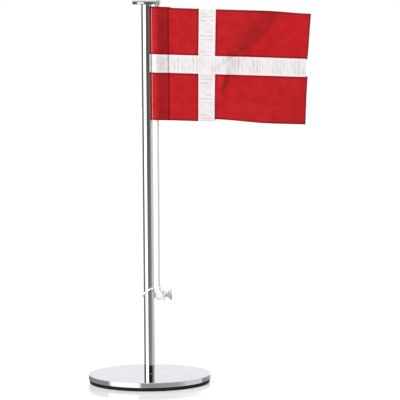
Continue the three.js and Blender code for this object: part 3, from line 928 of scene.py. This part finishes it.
def on_flag(u, off, h):
    """A point of the flag: distance along its section, offset to the flag's front side on
    the flat and to the sleeve's inside round the halyard, and height above its bottom. The
    cloth is drawn thinner round the sleeve, which is close to the pole and to the halyard."""
    off = off * (1 - SLEEVE_THINNING * within(u, HEM_EDGE + 3, SEAM_END, 3))
    a, y, tangent_a, tangent_y = (
        np.interp(u, SECTION_ALONG, values)
        for values in (*SECTION_LINE.T, *SECTION_TANGENT.T)
    )
    return cloth_place(a + tangent_y * off, y - tangent_a * off, h)


EDGE_STEPS = np.array([0, 0.03, 0.1, 0.22])


def edged_steps(low, high, step):
    """Even values from low to high with closer ones at both ends, for rounded cloth edges."""
    inner = np.linspace(low + 0.4, high - 0.4, max(4, round((high - low) / step)))
    return np.concatenate([low + EDGE_STEPS, inner, (high - EDGE_STEPS)[::-1]])


def edge_profile(value, soft=0.22):
    """A quarter ellipse from 0 at both ends of an array of steps to 1 inside them."""
    depth = np.minimum(value - value[0], value[-1] - value)
    share = np.clip(depth / soft, 0, 1)
    return np.sqrt(1 - (1 - share) ** 2)


def cloth_shell(name, front, back, uv, values):
    """A closed sheet from two grids of points that meet along their border."""
    rows, columns = front.shape[:2]
    number = np.arange(rows * columns).reshape(rows, columns)
    under = number.copy()
    inner = (rows - 2) * (columns - 2)
    under[1:-1, 1:-1] = rows * columns + np.arange(inner).reshape(rows - 2, columns - 2)
    top = grid_quads(rows, columns)
    bottom = under.ravel()[top][:, ::-1]
    points = np.vstack([front.reshape(-1, 3), back[1:-1, 1:-1].reshape(-1, 3)])
    uv = np.vstack([uv.reshape(-1, 2), uv[1:-1, 1:-1].reshape(-1, 2)])
    values = {
        key: np.concatenate([grid.ravel(), grid[1:-1, 1:-1].ravel()]) for key, grid in values.items()
    }
    return make_piece(name, points, [top, bottom], uv, values)


def ribbed(place, pitch):
    """Round ribs with sharp valleys: the square root of a cosine's size."""
    return np.sqrt(np.abs(np.cos(np.pi * place / pitch)))


def finish_cloth(piece, slot, material, node):
    """Finishes a sheet of the flag."""
    finish_piece(piece, "flag", slot, material, node)


def lifted_edge(u, h, lift):
    """How far a panel's bottom edge is pulled up next to the upright ribbon."""
    return lift * (1 - blend_in(u, 60, 118)) * np.clip(1 - h / CROSS_LOW, 0, 1)


def within(value, low, high, soft=0.3):
    """1 between low and high, 0 outside them, with smooth sides."""
    return blend_in(value, low, low + soft) * (1 - blend_in(value, high - soft, high))


def make_red(name, u_low, u_high, h_low, h_high, node, lift=0.0):
    """Red cloth with ribs along the flag, thinner where a ribbon covers its edge, with painted
    shade between its ribs and painted shade over the turned-back hem and the sleeve's front.
    Its bottom edge may be lifted beside the upright ribbon, and come down towards the fly."""
    u = edged_steps(u_low, u_high, 0.9)
    h = edged_steps(h_low, h_high, RED_RIB / 7)
    u_grid, h_grid = np.meshgrid(u, h)
    ribs = ribbed(h_grid, RED_RIB)
    # Painted shade over the turned-back hem and the sleeve's front, changing a little with height; the
    # ribs add painted shade between them.
    hem_shade_depth = 0.44 + 0.14 * np.sin(h_grid / 15 + 2.6) + 0.07 * np.sin(h_grid / 4.1 + u_grid / 2.3)
    hem_shade_factor = 1 - hem_shade_depth * (1 - blend_in(u_grid, HEM_EDGE + 8, HEM_EDGE + 14))
    upright = within(u_grid, UPRIGHT_LEFT, UPRIGHT_RIGHT)
    crossing = within(h_grid, CROSS_LOW, CROSS_HIGH)
    half = RED_THICK / 2 * (0.72 + 0.5 * ribs) * edge_profile(u)[None, :] * edge_profile(h)[:, None]
    half = half * (1 - 0.65 * np.maximum(upright, crossing))
    shape = np.stack([u_grid, h_grid], axis=-1)
    raised = h_grid + lifted_edge(u_grid, h_grid, lift)
    front, back = on_flag(u_grid, half, raised), on_flag(u_grid, -half, raised)
    piece = cloth_shell(name, front, back, shape, {"painted_shading": ribs * hem_shade_factor})
    finish_cloth(piece, "red_cloth", RED_CLOTH, node)


def make_ribbon(name, u_low, u_high, h_low, h_high, crosswise, node):
    """White ribbon with fine ribs and uneven sunk strokes across its length, and a raised
    border of small scallops, one for each of its ribs, along both long edges. The strokes come
    and go in patches. Its length runs along the flag if crosswise. Its stored shading is
    painted shade in the strokes and between ribs and scallops, and painted light on crests."""
    fine, coarse = RIBBON_RIB / 8, 0.5
    u = edged_steps(u_low, u_high, fine if crosswise else coarse)
    h = edged_steps(h_low, h_high, coarse if crosswise else fine)
    u_grid, h_grid = np.meshgrid(u, h)
    run, side = (u_grid, h_grid) if crosswise else (h_grid, u_grid)
    low, high = (h_low, h_high) if crosswise else (u_low, u_high)
    depth = np.minimum(side - low, high - side)
    ribs = ribbed(run, RIBBON_RIB)
    border = 1 - blend_in(depth, 1.7, 2.5)
    bulge = np.sin(np.pi * np.clip(depth / RIBBON_BORDER, 0, 1))
    lift = 1 + border * (0.55 * bulge * ribs - 0.1)
    turn = run * 2.05 + 1.6 * np.sin(run * 0.41) + 0.5 * np.sin(side * 0.9 + run * 0.23)
    stroke = 0.5 + 0.5 * np.sin(turn)
    gate = blend_in(np.sin(run * 0.31 + 1.3) + 0.8 * np.sin(run * 0.83 + side * 0.45), -0.9, 0.9)
    stroke = stroke**1.5 * (0.25 + 0.75 * gate)
    pucker = 1 - 0.35 * (1 - border) * stroke
    half = RIBBON_THICK / 2 * (0.72 + 0.5 * ribs) * lift * pucker
    half = half * edge_profile(u)[None, :] * edge_profile(h)[:, None]
    # Painted shading: darker in the sunk strokes and between ribs and scallops, lighter on their
    # crests.
    centre = 0.62 - 0.42 * stroke + 0.15 * (ribs - 0.6)
    ribbon_shading = (1 - border) * centre + border * (0.45 + 0.4 * ribs)
    shape = np.stack([u_grid, h_grid], axis=-1)
    front, back = on_flag(u_grid, half, h_grid), on_flag(u_grid, -half, h_grid)
    piece = cloth_shell(name, front, back, shape, {"painted_shading": ribbon_shading})
    finish_cloth(piece, "white_ribbon", WHITE_RIBBON, node)


def make_stitches(name, rows, size, material, slot, lifted=False):
    """Short threads lying on the cloth. Each is a bean: a small ellipsoid, bowed so that its
    ends dip into the cloth. A row gives the threads' places along the flag's section and
    up it, their angle in degrees, and the side of the cloth and height that they lie at.
    Lifted threads follow the raised bottom edge of the lower fly panel."""
    length, width, height = size
    around = np.arange(6) * np.pi / 3
    down = np.radians([36, 90, 144])
    along = np.concatenate([np.repeat(np.cos(down), 6), [1, -1]])
    across = np.concatenate([np.outer(np.sin(down), np.cos(around)).ravel(), [0, 0]])
    out = np.concatenate([np.outer(np.sin(down), np.sin(around)).ravel(), [0, 0]])
    out = out * height / 2 + height * (0.42 - 0.35 * along**2)
    along, across = along * length / 2, across * width / 2
    bean = [grid_quads(3, 6, False, True), *end_fans(3, 6)]
    u, h, angle, level = (np.concatenate(column) for column in zip(*rows))
    jitter = RNG.normal(0, 1, (3, len(u)))
    angle = np.radians(angle + 5 * jitter[0])
    u, h = u + 0.05 * jitter[1], h + 0.05 * jitter[2]
    cos, sin = np.cos(angle)[:, None], np.sin(angle)[:, None]
    place_u = u[:, None] + along * cos - across * sin
    place_h = h[:, None] + along * sin + across * cos
    place_h += lifted_edge(place_u, place_h, FLY_LIFT) * (place_u > UPRIGHT_RIGHT) * lifted
    offset = level[:, None] + np.sign(level)[:, None] * out
    points = on_flag(place_u, offset, place_h).reshape(-1, 3)
    start = (np.arange(len(u)) * 20)[:, None, None]
    faces = [(start + group).reshape(-1, group.shape[1]) for group in bean]
    uv = np.tile(np.stack([along, np.abs(across) / width], axis=-1), (len(u), 1))
    uv[:, 0] += np.repeat(np.arange(len(u)) * 0.37, 20)
    piece = make_piece(name, points, faces, uv)
    finish_piece(piece, "flag", slot, material)


def stitch_row(start, end, fixed, pitch, angle, level, upright=False, swing=0.0):
    """Evenly spaced places along the section, or up it, at one fixed height or distance."""
    place = np.arange(start + pitch / 2, end, pitch)
    other = np.full(len(place), float(fixed))
    turn = angle + swing * np.where(np.arange(len(place)) % 2, 1.0, -1.0)
    u, h = (other, place) if upright else (place, other)
    return u, h, turn, np.full(len(place), float(level))


def make_flag():
    """Four red panels, three ribbons over their edges, and the threads that join them."""
    upper, lower = (CROSS_HIGH - OVERLAP, FLAG_HOIST), (0, CROSS_LOW + OVERLAP)
    hoist, fly = (HEM_EDGE, UPRIGHT_LEFT + OVERLAP), (UPRIGHT_RIGHT - OVERLAP, FLY_END)
    make_red("upper_hoist_cloth", *hoist, *upper, "flag_upper_hoist_panel")
    make_red("lower_hoist_cloth", *hoist, *lower, "flag_lower_hoist_panel")
    make_red("upper_fly_cloth", *fly, *upper, "flag_upper_fly_panel")
    make_red("lower_fly_cloth", *fly, *lower, "flag_lower_fly_panel", FLY_LIFT)
    upright = (UPRIGHT_LEFT, UPRIGHT_RIGHT)
    make_ribbon(
        "upper_upright_ribbon", *upright, CROSS_HIGH - RIBBON_UNDER, FLAG_HOIST, False,
        "flag_upper_upright_ribbon",
    )
    make_ribbon(
        "lower_upright_ribbon", *upright, 0, CROSS_LOW + RIBBON_UNDER, False,
        "flag_lower_upright_ribbon",
    )
    make_ribbon(
        "cross_ribbon", HEM_EDGE + 0.2, FLY_END - 1.2, CROSS_LOW, CROSS_HIGH, True, "flag_cross_ribbon",
    )
    red_top, ribbon_top = RED_THICK / 2, RIBBON_THICK / 2
    edge, join, border = [], [], []
    for side in (1, -1):
        start = HEM_EDGE if side < 0 else SEAM_END
        red, white = side * red_top, side * ribbon_top * 1.35
        for h in (EDGE_ROOM, FLAG_HOIST - EDGE_ROOM):
            edge.append(stitch_row(start, UPRIGHT_LEFT, h, RED_PITCH, 78, red))
            edge.append(stitch_row(UPRIGHT_RIGHT, FLY_END, h, RED_PITCH, 78, red))
        for low, high in ((0, CROSS_LOW), (CROSS_HIGH, FLAG_HOIST)):
            edge.append(stitch_row(low, high, FLY_END - EDGE_ROOM, RED_PITCH, 12, red, True))
            for u in (UPRIGHT_LEFT - JOIN_ROOM, UPRIGHT_RIGHT + JOIN_ROOM):
                join.append(stitch_row(low, high, u, RED_PITCH, 10, red, True))
            for u in (UPRIGHT_LEFT + RIBBON_ROOM, UPRIGHT_RIGHT - RIBBON_ROOM):
                border.append(stitch_row(low, high, u, RIBBON_PITCH, 0, white, True, RIBBON_SWING))
        for h in (CROSS_LOW - JOIN_ROOM, CROSS_HIGH + JOIN_ROOM):
            join.append(stitch_row(start, UPRIGHT_LEFT, h, RED_PITCH, 80, red))
            join.append(stitch_row(UPRIGHT_RIGHT, FLY_END - 2, h, RED_PITCH, 80, red))
        for h in (CROSS_LOW + RIBBON_ROOM, CROSS_HIGH - RIBBON_ROOM):
            border.append(
                stitch_row(start, FLY_END - 2, h, RIBBON_PITCH, 90, white, False, RIBBON_SWING)
            )
    seam = [
        stitch_row(0, FLAG_HOIST, u, RED_PITCH, 90, -ribbon_top * 1.1, True)
        for u in (HEM_EDGE + SEAM_ROOM, SEAM_END - SEAM_ROOM)
    ]
    make_stitches("edge_stitches", edge, EDGE_THREAD, RED_THREAD, "red_cloth", True)
    make_stitches("join_stitches", join, JOIN_THREAD, RED_THREAD, "red_cloth", True)
    make_stitches("ribbon_stitches", border, RIBBON_THREAD, WHITE_THREAD, "white_ribbon")
    make_stitches("seam_stitches", seam, SEAM_THREAD, RED_THREAD, "red_cloth")


make_flag()

# ---- floor, light and world -----------------------------------------------------------

FLOOR_REACH = 6000.0
FLOOR_TONES = (0.76, 0.76, 0.765, 1), (0.78, 0.78, 0.785, 1)
FLOOR_GLOW = (0.31, 0.31, 0.315, 1)  # keeps the floor's far parts nearly white
CEILING, SOFT_LIGHT = (0.89, 0.9, 0.93, 1), (0.41, 0.41, 0.42, 1)
# Degrees from the front towards +X, and the brightness steel sees there: level with the
# stand, and below it.
LEVEL_RING = [
    (-180, 0.9), (-172, 0.9), (-164, 0.12), (-84, 0.14), (-80, 1.8), (-24, 1.8), (-18, 0.1),
    (20, 0.09), (54, 0.14), (62, 0.4), (100, 0.56), (135, 0.85), (160, 1.1), (180, 1.1),
]
LOW_RING = [
    (-180, 0.5), (-153, 0.12), (-148, 0.3), (-80, 0.3), (-76, 1.1), (-18, 1.1), (-14, 0.36),
    (60, 0.42), (78, 0.7), (116, 0.75), (122, 0.16), (165, 0.2), (180, 0.5),
]
LIGHT_TARGET = (50, 0, 200)


def make_floor():
    """A wide pale sheet with a soft mirror in it. Steel sees the studio through it."""
    reach = FLOOR_REACH * MM
    corners = [[-reach, -reach, 0], [reach, -reach, 0], [reach, reach, 0], [-reach, reach, 0]]
    mesh = bpy.data.meshes.new("floor")
    mesh.from_pydata(corners, [], [(0, 1, 2, 3)])
    floor = put_in_scene("floor", mesh)
    material = bpy.data.materials.new("pale_floor")
    material.use_nodes = True
    nodes = Nodes(material.node_tree)
    material.node_tree.nodes.clear()
    grain = nodes.noise(nodes.places("Object"), 120.0, 2.0)
    colour = nodes.mix(grain, *FLOOR_TONES)
    matt = nodes.add("ShaderNodeBsdfDiffuse", {"Color": colour}).outputs[0]
    mirror = {"Color": (1, 1, 1, 1), "Roughness": 0.08}
    gloss = nodes.add("ShaderNodeBsdfAnisotropic", mirror).outputs[0]
    glance = nodes.add("ShaderNodeFresnel", {"IOR": 1.5}).outputs[0]
    mixed = nodes.add("ShaderNodeMixShader", {0: glance, 1: matt, 2: gloss}).outputs[0]
    glow = nodes.add("ShaderNodeEmission", {"Color": FLOOR_GLOW}).outputs[0]
    lit = nodes.add("ShaderNodeAddShader", {0: mixed, 1: glow}).outputs[0]
    nodes.add("ShaderNodeOutputMaterial", {"Surface": lit})
    mesh.materials.append(material)
    floor.visible_glossy = False


def ring_ramp(nodes, turn, ring):
    """Turns a ring of degrees and brightnesses into a ramp over the part of a full turn."""
    return nodes.ramp(turn, [((degrees + 180) / 360, light) for degrees, light in ring])


def make_world():
    """White behind, and for reflections a ring of soft boxes and dark cards round the stand:
    the azimuth of a direction, measured from the front towards +X, picks its brightness.
    A first reflection upwards sees a white ceiling, and every later one sees the ring's
    brightness squared."""
    world = bpy.data.worlds.new("studio")
    bpy.context.scene.world = world
    world.use_nodes = True
    nodes = Nodes(world.node_tree)
    world.node_tree.nodes.clear()
    direction = nodes.places("Generated")
    split = nodes.split(direction)
    azimuth = nodes.math("ARCTAN2", split[0], nodes.times(split[1], -1.0))
    turn = nodes.plus(nodes.math("DIVIDE", azimuth, 2 * math.pi), 0.5)
    level, below = ring_ramp(nodes, turn, LEVEL_RING), ring_ramp(nodes, turn, LOW_RING)
    sink = nodes.times(split[2], -5.0)
    lower = nodes.ramp(sink, [(0.25, 0.0), (0.7, 0.4), (0.77, 0.45), (0.81, 1.0)])
    path = nodes.add("ShaderNodeLightPath").outputs
    first = nodes.math("LESS_THAN", path["Glossy Depth"], 1.5)
    above = nodes.times(first, nodes.math("GREATER_THAN", split[2], 0.03))
    above = nodes.math("MAXIMUM", above, nodes.math("GREATER_THAN", split[2], 0.55))
    seen = nodes.mix(lower, level, below)
    seen = nodes.mix(first, nodes.times(seen, seen), seen)
    seen = nodes.mix(above, seen, CEILING)
    soft = nodes.mix(path["Is Diffuse Ray"], seen, SOFT_LIGHT)
    colour = nodes.mix(path["Is Camera Ray"], soft, (1, 1, 1, 1))
    background = nodes.add("ShaderNodeBackground", {"Color": colour, "Strength": 1.0})
    nodes.add("ShaderNodeOutputWorld", {"Surface": background.outputs[0]})


def make_light(name, place, size, power):
    """A square soft light aimed at the flag, seen by cloth and floor but not in the steel."""
    data = bpy.data.lights.new(name, "AREA")
    data.shape = "SQUARE"
    data.size = size * MM
    data.energy = power
    light = put_in_scene(name, data)
    light.location = Vector(place) * MM
    light.rotation_mode = "QUATERNION"
    light.rotation_quaternion = (Vector(LIGHT_TARGET) - Vector(place)).to_track_quat("-Z", "Y")
    light.visible_glossy = False
    light.visible_camera = False


make_floor()
make_world()
make_light("key_light", (-900, -1100, 900), 500, 21)
make_light("back_light", (800, 1300, 900), 600, 13)
bpy.context.scene.view_settings.view_transform = "Standard"
